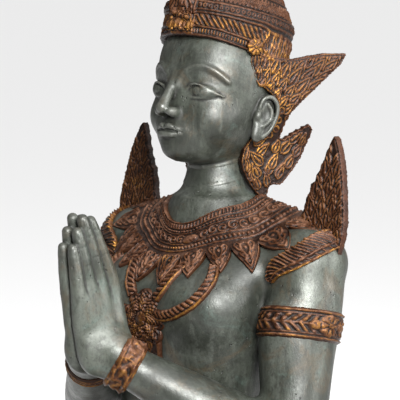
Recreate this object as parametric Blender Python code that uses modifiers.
"""Kneeling thepphanom angel, hands pressed together, on a low base: one bronze casting.

Metres, +Z up, origin at the centre of the base's underside, the figure faces -Y
and its left hand is towards +X.  Shapes are first laid out in the figure's own
frame, whose X = 0 plane is the plane of symmetry, and moved back by FIG_Y.
"""

import math

import bmesh
import bpy
import numpy as np
from mathutils import Matrix, Vector

# ---- driving sizes ---------------------------------------------------------
HEAD_H = 0.157          # chin to top of skull, the unit of the whole figure
FIG_Y = 0.030           # figure frame to base frame
BASE_W, BASE_D, BASE_H = 0.300, 0.430, 0.045
BASE_CORNER = 0.035
BASE_STEP = 0.010       # the waist of the base is set in by this
HEAD_C = Vector((0.0, 0.045, 0.642))
HEAD_PITCH = math.radians(11.0)     # chin raised
CROWN_PITCH = math.radians(14.5)    # crown leans back a little more
SHOULDER = Vector((0.1155, 0.040, 0.4735))
ELBOW = Vector((0.135, -0.004, 0.302))
WRIST = Vector((0.0245, -0.1130, 0.390))
KNUCKLE = Vector((0.0115, -0.1340, 0.461))
FINGERTIP = Vector((0.0065, -0.1525, 0.531))
KNEE = Vector((0.082, -0.185, 0.112))
HIP = Vector((0.052, 0.015, 0.165))
PLATE_T = 0.0070        # thickness of ear wings and epaulettes
VOXEL = 0.0030
FIGURE_TRIS = 6950
COLLAR_NECK_R = 0.0450  # inner ring of the collar
COLLAR_C = (0.0, 0.032)

# torso sections: height, half width, half depth, centre Y
TORSO = [
    (0.130, 0.097, 0.070, 0.015), (0.150, 0.104, 0.072, 0.015),
    (0.180, 0.099, 0.0655, 0.0125), (0.215, 0.084, 0.054, 0.008),
    (0.245, 0.074, 0.047, 0.005), (0.270, 0.070, 0.0445, 0.0045),
    (0.310, 0.073, 0.0465, 0.0035), (0.360, 0.082, 0.055, 0.003),
    (0.400, 0.089, 0.0635, 0.0025), (0.440, 0.094, 0.067, 0.005),
    (0.470, 0.102, 0.062, 0.016), (0.492, 0.099, 0.051, 0.030),
    (0.508, 0.074, 0.044, 0.035), (0.522, 0.052, 0.041, 0.034),
    (0.535, 0.038, 0.037, 0.032),
]

# trapezius and top of the shoulder: X, Y, Z and radius
YOKE = [
    (0.020, 0.048, 0.507, 0.0260), (0.056, 0.054, 0.503, 0.0250),
    (0.076, 0.055, 0.500, 0.0260), (0.097, 0.050, 0.486, 0.0270),
    (0.115, 0.044, 0.4775, 0.0300),
]

# crown profile in the crown's frame: (radius share, height), 1.0 = head width
CROWN_A, CROWN_B = 0.0605, 0.0670
CROWN_FORE = 0.0083     # the crown's axis lies this far before the head's centre
CROWN_SPIRE = [
    (0.98, 0.0395), (1.015, 0.043), (1.015, 0.049), (0.985, 0.051),
    (1.00, 0.060), (0.985, 0.070), (0.955, 0.074), (0.965, 0.078),
    (0.94, 0.083), (0.86, 0.086), (0.815, 0.089), (0.825, 0.094),
    (0.79, 0.100), (0.72, 0.1025), (0.665, 0.105), (0.675, 0.110),
    (0.635, 0.116), (0.565, 0.118), (0.515, 0.1205), (0.525, 0.1255),
    (0.485, 0.131), (0.415, 0.133), (0.370, 0.1355), (0.385, 0.141),
    (0.345, 0.146), (0.270, 0.149), (0.235, 0.153), (0.290, 0.160),
    (0.300, 0.168), (0.240, 0.177), (0.150, 0.182), (0.175, 0.187),
    (0.130, 0.193), (0.150, 0.198), (0.105, 0.206), (0.120, 0.211),
    (0.080, 0.224), (0.062, 0.243), (0.036, 0.268), (0.012, 0.290),
]

# ear wing, in its own plane: (along, up) in mm from the temple
WING_O = Vector((0.0550, 0.0335, 0.533))
WING_DIR = Vector((0.30, 0.954, 0.0)).normalized()
WING_TUCK = 0.0140      # how far the lower leaf lies in and back, against the neck
WING = [
    (-4, 146), (20, 143), (39, 138), (60, 141), (80, 144), (99, 143),
    (84, 125), (66, 109.5), (48, 94.5), (34, 80), (26, 60.5), (40, 65),
    (53, 71), (61.5, 69.5), (57, 54), (46, 34), (30, 15), (18, 13),
    (12.5, 6), (5, 3), (-4, 10), (-13, 25), (-17, 39), (-13, 52),
    (-5, 63), (-4, 100), (-4, 125),
]

# epaulette flame, seen from the front: (X, Z) in mm; it stands at FLAME_Y and leans back
FLAME_Y, FLAME_LEAN = 0.0468, 0.150
FLAME = [
    (133, 602), (123.5, 583), (115, 562), (107, 541), (101.5, 520), (102, 497),
    (118, 476), (138, 472), (151, 486), (156.5, 511), (154.5, 535), (148.5, 561),
    (142, 583),
]


# ---- small modelling helpers ----------------------------------------------
def head_matrix(pitch):
    return Matrix.Translation(HEAD_C) @ Matrix.Rotation(-pitch, 4, "X")


HEAD_M = head_matrix(HEAD_PITCH)


def smooth_rows(keys, per=5, closed=False):
    """Catmull-Rom through rows of numbers, so that a few named points give a smooth line."""
    k = np.array(keys, float)
    n = len(k)
    out = []
    spans = n if closed else n - 1
    for i in range(spans):
        if closed:
            p0, p1, p2, p3 = k[(i - 1) % n], k[i], k[(i + 1) % n], k[(i + 2) % n]
        else:
            p0, p1, p2, p3 = k[max(i - 1, 0)], k[i], k[i + 1], k[min(i + 2, n - 1)]
        for j in range(per):
            t = j / per
            out.append(0.5 * (2 * p1 + (p2 - p0) * t
                              + (2 * p0 - 5 * p1 + 4 * p2 - p3) * t * t
                              + (3 * p1 - p0 - 3 * p2 + p3) * t ** 3))
    if not closed:
        out.append(k[-1])
    return np.array(out)


def mesh_of(obj):
    """The evaluated mesh of a helper object in world space, and the helper removed."""
    bpy.context.view_layer.update()
    graph = bpy.context.evaluated_depsgraph_get()
    mesh = bpy.data.meshes.new_from_object(obj.evaluated_get(graph))
    mesh.transform(obj.matrix_world)
    bpy.data.objects.remove(obj)
    bm = bmesh.new()
    bm.from_mesh(mesh)
    bmesh.ops.remove_doubles(bm, verts=bm.verts, dist=1e-6)
    bmesh.ops.recalc_face_normals(bm, faces=bm.faces)
    bm.to_mesh(mesh)
    bm.free()
    return mesh


def tube(keys, per=5, resolution=3):
    """A limb: a curve with a bevel, each key (x, y, z, radius), closed by balls."""
    rows = smooth_rows(keys, per)
    curve = bpy.data.curves.new("limb", "CURVE")
    curve.dimensions = "3D"
    curve.bevel_depth = 1.0
    curve.bevel_resolution = resolution
    curve.use_fill_caps = True
    line = curve.splines.new("POLY")
    line.points.add(len(rows) - 1)
    for p, r in zip(line.points, rows):
        p.co = (r[0], r[1], r[2], 1.0)
        p.radius = r[3]
    obj = bpy.data.objects.new("limb", curve)
    bpy.context.scene.collection.objects.link(obj)
    meshes = [mesh_of(obj)]
    for r in (rows[0], rows[-1]):
        meshes.append(ball(r[:3], (r[3],) * 3))
    return meshes


def ball(centre, radii, rotation=(0, 0, 0), frame=None):
    """An ellipsoid, radii along its own axes, rotation in degrees."""
    bm = bmesh.new()
    bmesh.ops.create_uvsphere(bm, u_segments=24, v_segments=14, radius=1.0)
    turn = Matrix.Rotation(math.radians(rotation[2]), 4, "Z") @ Matrix.Rotation(
        math.radians(rotation[1]), 4, "Y") @ Matrix.Rotation(math.radians(rotation[0]), 4, "X")
    place = Matrix.Translation(Vector(centre)) @ turn @ Matrix.Diagonal((*radii, 1.0))
    bmesh.ops.transform(bm, matrix=(frame or Matrix.Identity(4)) @ place, verts=bm.verts)
    mesh = bpy.data.meshes.new("ball")
    bm.to_mesh(mesh)
    bm.free()
    return mesh


def loft(sections, power=2.3, sides=44):
    """A trunk: a skin over flat superellipse sections (z, a, b, centre y)."""
    bm = bmesh.new()
    rings = []
    for z, a, b, cy in smooth_rows(sections, 4):
        ring = []
        for i in range(sides):
            t = 2 * math.pi * i / sides
            c, s = math.cos(t), math.sin(t)
            ring.append(bm.verts.new((a * math.copysign(abs(c) ** (2 / power), c),
                                      cy + b * math.copysign(abs(s) ** (2 / power), s), z)))
        rings.append(ring)
    for low, high in zip(rings, rings[1:]):
        for i in range(sides):
            j = (i + 1) % sides
            bm.faces.new((low[i], low[j], high[j], high[i]))
    bm.faces.new(rings[0][::-1])
    bm.faces.new(rings[-1])
    mesh = bpy.data.meshes.new("trunk")
    bm.to_mesh(mesh)
    bm.free()
    return mesh


def plate(outline_mm, thickness, place, per=3, teeth=0.0):
    """A cast leaf: a filled 2D outline with a thickness, its edge drawn as small scrolls."""
    rows = smooth_rows(outline_mm, per, closed=True) / 1000.0
    if teeth:
        rows = scalloped(rows, teeth)
    curve = bpy.data.curves.new("leaf", "CURVE")
    curve.dimensions = "2D"
    curve.fill_mode = "BOTH"
    curve.extrude = thickness / 2
    line = curve.splines.new("POLY")
    line.points.add(len(rows) - 1)
    for p, r in zip(line.points, rows):
        p.co = (r[0], r[1], 0.0, 1.0)
    line.use_cyclic_u = True
    obj = bpy.data.objects.new("leaf", curve)
    obj.matrix_world = place
    bpy.context.scene.collection.objects.link(obj)
    return mesh_of(obj)


def scalloped(rows, depth):
    """Every other point of an outline drawn in, for the serrated rim of a flame leaf."""
    ahead, behind = np.roll(rows, -1, 0), np.roll(rows, 1, 0)
    d = ahead - behind
    out = np.stack([d[:, 1], -d[:, 0]], 1)
    out /= np.linalg.norm(out, axis=1)[:, None] + 1e-9
    area = 0.5 * np.sum(rows[:, 0] * ahead[:, 1] - ahead[:, 0] * rows[:, 1])
    side = 1.0 if area > 0 else -1.0
    shift = np.where(np.arange(len(rows)) % 2 == 0, 0.0, -depth)
    return rows + out * (side * shift)[:, None]


def mirrored(mesh):
    """The same mesh on the figure's other side."""
    other = mesh.copy()
    other.transform(Matrix.Diagonal((-1, 1, 1, 1)))
    other.flip_normals()
    return other


def both(meshes):
    meshes = meshes if isinstance(meshes, list) else [meshes]
    return meshes + [mirrored(m) for m in meshes]


def at(frame, *xyz):
    return tuple(frame @ Vector(xyz))


def joined(name, meshes, collection):
    bm = bmesh.new()
    for mesh in meshes:
        bm.from_mesh(mesh)
        bpy.data.meshes.remove(mesh)
    bmesh.ops.translate(bm, vec=(0, FIG_Y, 0), verts=bm.verts)
    mesh = bpy.data.meshes.new(name)
    bm.to_mesh(mesh)
    bm.free()
    obj = bpy.data.objects.new(name, mesh)
    collection.objects.link(obj)
    return obj


def torso_at(z):
    """Half width, half depth and centre Y of the trunk at a height."""
    rows = np.array(TORSO)
    return [float(np.interp(z, rows[:, 0], rows[:, i])) for i in (1, 2, 3)]


def belt(z, out, radius, tilt=0.0, sides=28):
    """A raised band right round the trunk."""
    a, b, cy = torso_at(z)
    keys = []
    for i in range(sides + 1):
        t = 2 * math.pi * i / sides
        keys.append(((a + out) * math.cos(t), cy + (b + out) * math.sin(t),
                     z + tilt * math.sin(t), radius))
    return tube(keys, per=1, resolution=2)


def chest_y(x, z, out=0.0):
    """Y of the trunk's front surface."""
    a, b, cy = torso_at(z)
    share = max(0.0, 1.0 - (abs(x) / a) ** 2.3)
    return cy - b * share ** (1 / 2.3) - out


# ---- the figure ------------------------------------------------------------
def trunk():
    meshes = [loft(TORSO)]
    meshes += tube([(0, 0.0300, 0.494, 0.0465), (0, 0.0320, 0.518, 0.0395),
                    (0, 0.0345, 0.540, 0.0325), (0, 0.0395, 0.575, 0.0300),
                    (0, 0.0445, 0.606, 0.0315)])
    meshes += both(tube(YOKE))
    meshes += both(ball((0.047, -0.024, 0.432), (0.046, 0.036, 0.040)))
    meshes += both(ball((0.050, 0.040, 0.145), (0.056, 0.052, 0.058)))
    return meshes


def arms():
    s, e, w = SHOULDER, ELBOW, WRIST
    mid = s.lerp(e, 0.5)
    meshes = tube([(*s, 0.0395), (*s.lerp(e, 0.22), 0.0375), (*mid, 0.0335),
                   (*s.lerp(e, 0.8), 0.0305), (*e, 0.0290)])
    meshes += tube([(*e, 0.0285), (*e.lerp(w, 0.28), 0.0310), (*e.lerp(w, 0.6), 0.0265),
                    (*e.lerp(w, 0.85), 0.0215), (*w, 0.0200)])
    # arm band and bracelet
    along = (e - s).normalized()
    meshes += ring_on_limb(s.lerp(e, 0.312), along, 0.0385, 0.014)
    along = (w - e).normalized()
    meshes += ring_on_limb(e.lerp(w, 0.98), along, 0.0235, 0.011)
    return both(meshes)


def ring_on_limb(centre, along, radius, half):
    a, b = centre - along * half, centre + along * half
    bm = bmesh.new()
    bmesh.ops.create_cone(bm, cap_ends=True, segments=28, radius1=radius, radius2=radius,
                          depth=2 * half)
    turn = along.to_track_quat("Z", "Y").to_matrix().to_4x4()
    bmesh.ops.transform(bm, matrix=Matrix.Translation((a + b) / 2) @ turn, verts=bm.verts)
    mesh = bpy.data.meshes.new("band")
    bm.to_mesh(mesh)
    bm.free()
    return [mesh]


FINGERS = [  # offset of root and tip along the hand's width, tip height share, radius
    (-0.0212, -0.0138, 0.70, 0.0068),
    (-0.0072, -0.0050, 0.87, 0.0073),
    (0.0068, 0.0042, 1.00, 0.0075),
    (0.0202, 0.0126, 0.93, 0.0073),
]


def hands():
    up = (FINGERTIP - WRIST)
    up = Vector((0, up.y, up.z)).normalized()
    side = Vector((0, up.z, -up.y))          # towards the chest
    reach = (FINGERTIP - KNUCKLE).length
    palm = Vector((0.0060, KNUCKLE.y, KNUCKLE.z)) - side * 0.0060 - up * 0.034
    heel = Vector((0.0095, KNUCKLE.y, KNUCKLE.z)) - side * 0.0145 - up * 0.058
    tilt = math.degrees(math.atan2(-up.y, up.z))
    meshes = [ball(palm, (0.0130, 0.0270, 0.0440), (tilt, 0, 0)),
              ball(heel, (0.0130, 0.0215, 0.0230), (tilt, 0, 0))]
    meshes += tube([(*WRIST, 0.0190), (*WRIST.lerp(KNUCKLE, 0.35), 0.0170),
                    (*WRIST.lerp(KNUCKLE, 0.8), 0.0140)])
    for root, tip, share, r in FINGERS:
        a = Vector((0.0080, KNUCKLE.y, KNUCKLE.z)) + side * root - up * 0.012
        b = Vector((0.0070, KNUCKLE.y, KNUCKLE.z)) + side * tip + up * reach * share
        m = a.lerp(b, 0.5) + Vector((0.0010, 0, 0))
        meshes += tube([(*a, r * 1.08), (*m, r), (*b, r * 0.74)], per=3, resolution=2)
    root = Vector((0.0, KNUCKLE.y, KNUCKLE.z))
    meshes += tube([(0.0150, *(root + side * 0.0060 - up * 0.060).yz, 0.0110),
                    (0.0110, *(root + side * 0.0150 - up * 0.036).yz, 0.0090),
                    (0.0072, *(root + side * 0.0205 - up * 0.010).yz, 0.0072),
                    (0.0060, *(root + side * 0.0205 + up * 0.018).yz, 0.0050)], per=3,
                   resolution=2)
    return both(meshes)


def head():
    m = HEAD_M
    meshes = [
        ball((0, 0.000, 0.012), (0.0585, 0.0660, 0.0650), frame=m),
        ball((0, -0.016, -0.018), (0.0490, 0.0510, 0.0600), frame=m),
        ball((0, -0.036, -0.050), (0.0270, 0.0230, 0.0275), frame=m),
        ball((0, -0.0475, -0.0640), (0.0130, 0.0110, 0.0120), frame=m),
        ball((0, -0.0600, -0.0420), (0.0150, 0.0070, 0.0065), frame=m),
    ]
    nose = [(0, -0.0650, 0.020), (0, -0.0700, 0.004), (0, -0.0765, -0.014)]
    meshes += tube([(*at(m, *nose[0]), 0.0042), (*at(m, *nose[1]), 0.0050),
                    (*at(m, *nose[2]), 0.0066)], per=3)
    meshes += both(ball((0.0075, -0.0690, -0.0155), (0.0052, 0.0065, 0.0052), frame=m))
    # brows
    brow = [(0.004, -0.0680, 0.017), (0.020, -0.0655, 0.0285), (0.036, -0.0555, 0.0265),
            (0.048, -0.0420, 0.018)]
    meshes += both(tube([(*at(m, *p), 0.0032) for p in brow], per=3, resolution=2))
    # ears
    meshes += both(ball((0.0560, 0.0060, -0.0240), (0.0065, 0.0110, 0.0215), (8, 0, 12), frame=m))
    return meshes


def tucked(mesh):
    """The wing's plate with its lower leaf laid back against the neck."""
    for v in mesh.vertices:
        t = min(max((v.co.z - WING_O.z - 0.046) / 0.052, 0.0), 1.0)
        d = WING_TUCK * (1 - t * t * (3 - 2 * t))
        v.co.x -= d
        v.co.y += d
    return mesh


def wings_and_epaulettes():
    n = Vector((WING_DIR.y, -WING_DIR.x, 0))
    place = Matrix.Translation(WING_O) @ Matrix((
        (WING_DIR.x, 0, n.x, 0), (WING_DIR.y, 0, n.y, 0), (0, 1, 0, 0), (0, 0, 0, 1)))
    meshes = both(tucked(plate(WING, PLATE_T, place, teeth=0.0012)))
    # the web that joins the wing to jaw and neck
    meshes += both(tube([(0.036, 0.046, 0.560, 0.012), (0.047, 0.048, 0.590, 0.013),
                         (0.052, 0.050, 0.625, 0.013)], per=3))
    # rosette at the temple
    meshes += both(ball((0.0580, 0.0290, 0.6720), (0.0055, 0.0110, 0.0120), (0, 0, -12)))
    place = Matrix.Translation((0, FLAME_Y, 0)) @ Matrix((
        (1, 0, 0, 0), (0, FLAME_LEAN, -1, -0.49 * FLAME_LEAN), (0, 1, 0, 0), (0, 0, 0, 1)))
    meshes += both(plate(FLAME, PLATE_T * 1.1, place, teeth=0.0012))
    # the feather that runs from the armpit up over the deltoid
    band = [(0.1040, 0.0020, 0.4640, 0.0060), (0.1135, 0.0040, 0.4760, 0.0085),
            (0.1265, 0.0085, 0.4830, 0.0105), (0.1360, 0.0175, 0.4890, 0.0110),
            (0.1400, 0.0290, 0.4945, 0.0105), (0.1400, 0.0440, 0.4960, 0.0090)]
    meshes += both(tube(band, per=4))
    return meshes


COLLAR_OUT = [  # angle from the front in degrees, width of the collar over the body
    (0, 0.0385), (30, 0.0405), (45, 0.0415), (60, 0.0455), (72, 0.0510), (90, 0.0570),
    (120, 0.0520), (150, 0.0430), (180, 0.0430)]
PENDANTS, PENDANT_DROP = 20, 0.0330
YOKE_BALLS = smooth_rows(YOKE, 3)


def trunk_reach(turn, z):
    """How far trunk and shoulders reach from the neck's axis at an angle and a height."""
    dx, dy = math.sin(turn), -math.cos(turn)
    a, b, cy = torso_at(z)
    best = COLLAR_NECK_R
    for r in np.arange(COLLAR_NECK_R, 0.150, 0.001):
        x, y = COLLAR_C[0] + r * dx, COLLAR_C[1] + r * dy
        if (abs(x) / a) ** 2.3 + (abs(y - cy) / b) ** 2.3 <= 1:
            best = r
            continue
        for cx, cyy, cz, rad in YOKE_BALLS:
            if (abs(x) - cx) ** 2 + (y - cyy) ** 2 + (z - cz) ** 2 <= rad * rad:
                best = r
                break
    return best


def collar_line(turn):
    """The body's surface walked outwards and down from the neck: rows (length, r, z)."""
    rows, reach, length = [], COLLAR_NECK_R, 0.0
    last = None
    for z in np.arange(0.540, 0.395, -0.003):
        reach = max(reach, trunk_reach(turn, float(z)))
        if last is None and (reach > COLLAR_NECK_R or z < 0.512):
            rows.append((0.0, COLLAR_NECK_R, float(z)))
            last = (COLLAR_NECK_R, float(z))
        if last is not None:
            length += math.hypot(reach - last[0], float(z) - last[1])
            rows.append((length, reach, float(z)))
            last = (reach, float(z))
    return np.array(rows)


def on_body(turn, length):
    rows = collar_line(turn)
    r = float(np.interp(length, rows[:, 0], rows[:, 1]))
    z = float(np.interp(length, rows[:, 0], rows[:, 2]))
    return COLLAR_C[0] + r * math.sin(turn), COLLAR_C[1] - r * math.cos(turn), z


def collar_width(turn):
    deg = abs((math.degrees(turn) + 180) % 360 - 180)
    return float(np.interp(deg, [a for a, _ in COLLAR_OUT], [w for _, w in COLLAR_OUT]))


def collar():
    """Broad collar laid round the neck in raised rings, with leaf pendants on its rim."""
    meshes = []
    for share, radius in ((0.02, 0.0050), (0.34, 0.0062), (0.66, 0.0062), (0.96, 0.0055)):
        keys = []
        for i in range(33):
            t = 2 * math.pi * i / 32
            keys.append((*on_body(t, share * collar_width(t)), radius))
        meshes += tube(keys, per=1, resolution=2)
    for t in pendant_turns():
        w = collar_width(t)
        keys = [(*on_body(t, w + s * PENDANT_DROP), r)
                for s, r in ((0.0, 0.0085), (0.40, 0.0080), (0.70, 0.0060), (0.98, 0.0028))]
        meshes += tube(keys, per=2, resolution=2)
    return meshes


def pendant_turns():
    """Angles of the leaf points, even along the collar's outer edge."""
    turns = np.linspace(0, 2 * math.pi, 721)
    deg = np.abs((np.degrees(turns) + 180) % 360 - 180)
    edge = np.interp(deg, [0, 30, 60, 90, 120, 150, 180],
                     [0.076, 0.079, 0.092, 0.116, 0.094, 0.062, 0.056])
    run = np.concatenate([[0], np.cumsum((edge[1:] + edge[:-1]) / 2)])
    shares = (np.arange(PENDANTS) + 0.5) / PENDANTS
    return [float(t) for t in np.interp(shares * run[-1], run, turns)]


def chest_ornament():
    """Chains that meet at a pendant on the breastbone, and the girdle below it."""
    meshes = [ball((0, chest_y(0, 0.4235, -0.002), 0.4235), (0.0270, 0.0085, 0.0270))]
    for top_x, top_z in ((0.030, 0.470), (0.066, 0.462)):
        keys = []
        for s in np.linspace(0, 1, 7):
            x = top_x * (1 - s) ** 1.15 + 0.006 * s
            z = top_z + (0.432 - top_z) * s - 0.012 * math.sin(math.pi * s) * (top_x > 0.03)
            keys.append((x, chest_y(x, z, -0.001), z, 0.0052))
        meshes += both(tube(keys, per=2, resolution=2))
    for x, z, r in ((0, 0.403, 0.0150), (0, 0.385, 0.0130), (0, 0.367, 0.0100)):
        meshes.append(ball((x, chest_y(0, z, -0.002), z), (r, 0.0065, 0.0150)))
    meshes += belt(0.250, 0.003, 0.0105)
    meshes += belt(0.268, 0.001, 0.0060)
    meshes += belt(0.232, 0.001, 0.0060)
    meshes.append(ball((0, chest_y(0, 0.250, 0.004), 0.250), (0.020, 0.009, 0.017)))
    return meshes


def legs():
    meshes = []
    h, k = HIP, KNEE
    meshes += tube([(*h, 0.0600), (*h.lerp(k, 0.3), 0.0580), (*h.lerp(k, 0.65), 0.0510),
                    (*k, 0.0420)])
    meshes += tube([(k.x, k.y + 0.004, 0.0830, 0.0370), (0.080, -0.120, 0.0810, 0.0380),
                    (0.074, -0.040, 0.0800, 0.0345), (0.066, 0.040, 0.0780, 0.0270),
                    (0.062, 0.085, 0.0750, 0.0225)])
    meshes += tube([(0.062, 0.085, 0.0740, 0.0220), (0.060, 0.115, 0.0690, 0.0210),
                    (0.058, 0.140, 0.0620, 0.0170), (0.057, 0.158, 0.0560, 0.0110)])
    meshes = both(meshes)
    # cloth drawn across the lap, and the pleated fall between the knees
    meshes += tube([(0, -0.010, 0.165, 0.055), (0, -0.070, 0.140, 0.048),
                    (0, -0.120, 0.110, 0.040), (0, -0.140, 0.090, 0.036)], per=4)
    meshes.append(strip([(-0.047, 0.246, 0.020), (-0.066, 0.215, 0.026), (-0.100, 0.192, 0.030),
                         (-0.140, 0.172, 0.032), (-0.172, 0.146, 0.034), (-0.192, 0.108, 0.037),
                         (-0.204, 0.075, 0.040), (-0.212, 0.046, 0.044)], 0.018))
    return meshes


def strip(keys, thickness):
    """A hanging cloth panel: rows (y, z, half width) followed down the middle of the lap."""
    rows = smooth_rows(keys, 3)
    across = 7
    bm = bmesh.new()
    bmesh.ops.create_grid(bm, x_segments=across - 1, y_segments=len(rows) - 1, size=1.0)
    for v in bm.verts:
        y, z, half = rows[round((v.co.y + 1) / 2 * (len(rows) - 1))]
        v.co = (v.co.x * half, y, z)
    bmesh.ops.recalc_face_normals(bm, faces=bm.faces)
    mesh = bpy.data.meshes.new("panel")
    bm.to_mesh(mesh)
    bm.free()
    obj = bpy.data.objects.new("panel", mesh)
    bpy.context.scene.collection.objects.link(obj)
    shell = obj.modifiers.new("cloth", "SOLIDIFY")
    shell.thickness = thickness
    shell.offset = 0.0
    return mesh_of(obj)


def crown_profile():
    return [(CROWN_A * share, z) for share, z in smooth_rows(CROWN_SPIRE, 1)]


def crown():
    """The tiered crown and its spire, a turned shape, a little deeper than wide."""
    mesh = bpy.data.meshes.new("crown_profile")
    profile = [(0.0, CROWN_SPIRE[-1][1] + 0.004)] + crown_profile()[::-1] + [(0.0, 0.0395)]
    mesh.from_pydata([(r, 0.0, z) for r, z in profile],
                     [(i, i + 1) for i in range(len(profile) - 1)], [])
    obj = bpy.data.objects.new("crown_form", mesh)
    screw = obj.modifiers.new("turn", "SCREW")
    screw.angle = 2 * math.pi
    screw.steps = screw.render_steps = 30
    screw.use_merge_vertices = True
    screw.merge_threshold = 0.00005
    obj.matrix_world = (Matrix.Translation((0, FIG_Y, 0)) @ head_matrix(CROWN_PITCH)
                        @ Matrix.Translation((0, -CROWN_FORE, 0))
                        @ Matrix.Diagonal((1.0, CROWN_B / CROWN_A, 1.0, 1.0)))
    return obj


def base():
    """Low base: a slab with rounded corners, its waist set in between two fillets."""
    rows = [(0.0, 0.0), (0.0, 0.010), (BASE_STEP * 0.5, 0.013), (BASE_STEP, 0.018),
            (BASE_STEP, 0.028), (BASE_STEP * 0.5, 0.033), (0.002, 0.036), (0.002, BASE_H)]
    bm = bmesh.new()
    rings = []
    for inset, z in rows:
        w, d = BASE_W / 2 - inset, BASE_D / 2 - inset
        c = BASE_CORNER - inset * 0.5
        ring = []
        for cx, cy, start in ((w - c, d - c, 0), (-(w - c), d - c, 90),
                              (-(w - c), -(d - c), 180), (w - c, -(d - c), 270)):
            for i in range(7):
                t = math.radians(start + 15 * i)
                ring.append(bm.verts.new((cx + c * math.cos(t), cy + c * math.sin(t), z)))
        rings.append(ring)
    n = len(rings[0])
    for low, high in zip(rings, rings[1:]):
        for i in range(n):
            j = (i + 1) % n
            bm.faces.new((low[i], low[j], high[j], high[i]))
    bm.faces.new(rings[0][::-1])
    bm.faces.new(rings[-1])
    mesh = bpy.data.meshes.new("base_form")
    bm.to_mesh(mesh)
    bm.free()
    return bpy.data.objects.new("base_form", mesh)


# ---- build -----------------------------------------------------------------
def main():
    for obj in list(bpy.data.objects):
        bpy.data.objects.remove(obj)
    part = bpy.data.collections.new("thepphanom_angel_statue")
    forms = bpy.data.collections.new("joined_forms")
    bpy.context.scene.collection.children.link(part)
    bpy.context.scene.collection.children.link(forms)

    meshes = (trunk() + arms() + hands() + head() + wings_and_epaulettes() + collar()
              + chest_ornament() + legs())
    statue = joined("thepphanom_statue", meshes, part)

    remesh = statue.modifiers.new("cast_skin", "REMESH")
    remesh.mode = "VOXEL"
    remesh.voxel_size = VOXEL
    ease = statue.modifiers.new("ease", "SMOOTH")
    ease.factor = 0.5
    ease.iterations = 2
    lighten = statue.modifiers.new("lighten", "DECIMATE")
    bpy.context.view_layer.update()
    full = statue.evaluated_get(bpy.context.evaluated_depsgraph_get())
    lighten.ratio = 1.0
    count = sum(len(p.vertices) - 2 for p in full.data.polygons)
    lighten.ratio = FIGURE_TRIS / count

    for form in (crown(), base()):
        forms.objects.link(form)
        form.hide_render = True
        form.display_type = "WIRE"
        union = statue.modifiers.new("with_" + form.name, "BOOLEAN")
        union.operation = "UNION"
        union.solver = "EXACT"
        union.object = form

    bronze = bpy.data.materials.new("patinated_bronze")
    bronze.use_nodes = True
    shader = bronze.node_tree.nodes["Principled BSDF"]
    shader.inputs["Base Color"].default_value = (0.12, 0.16, 0.14, 1.0)
    shader.inputs["Metallic"].default_value = 0.35
    shader.inputs["Roughness"].default_value = 0.42
    statue.data.materials.append(bronze)
    statue.data.shade_smooth()


main()
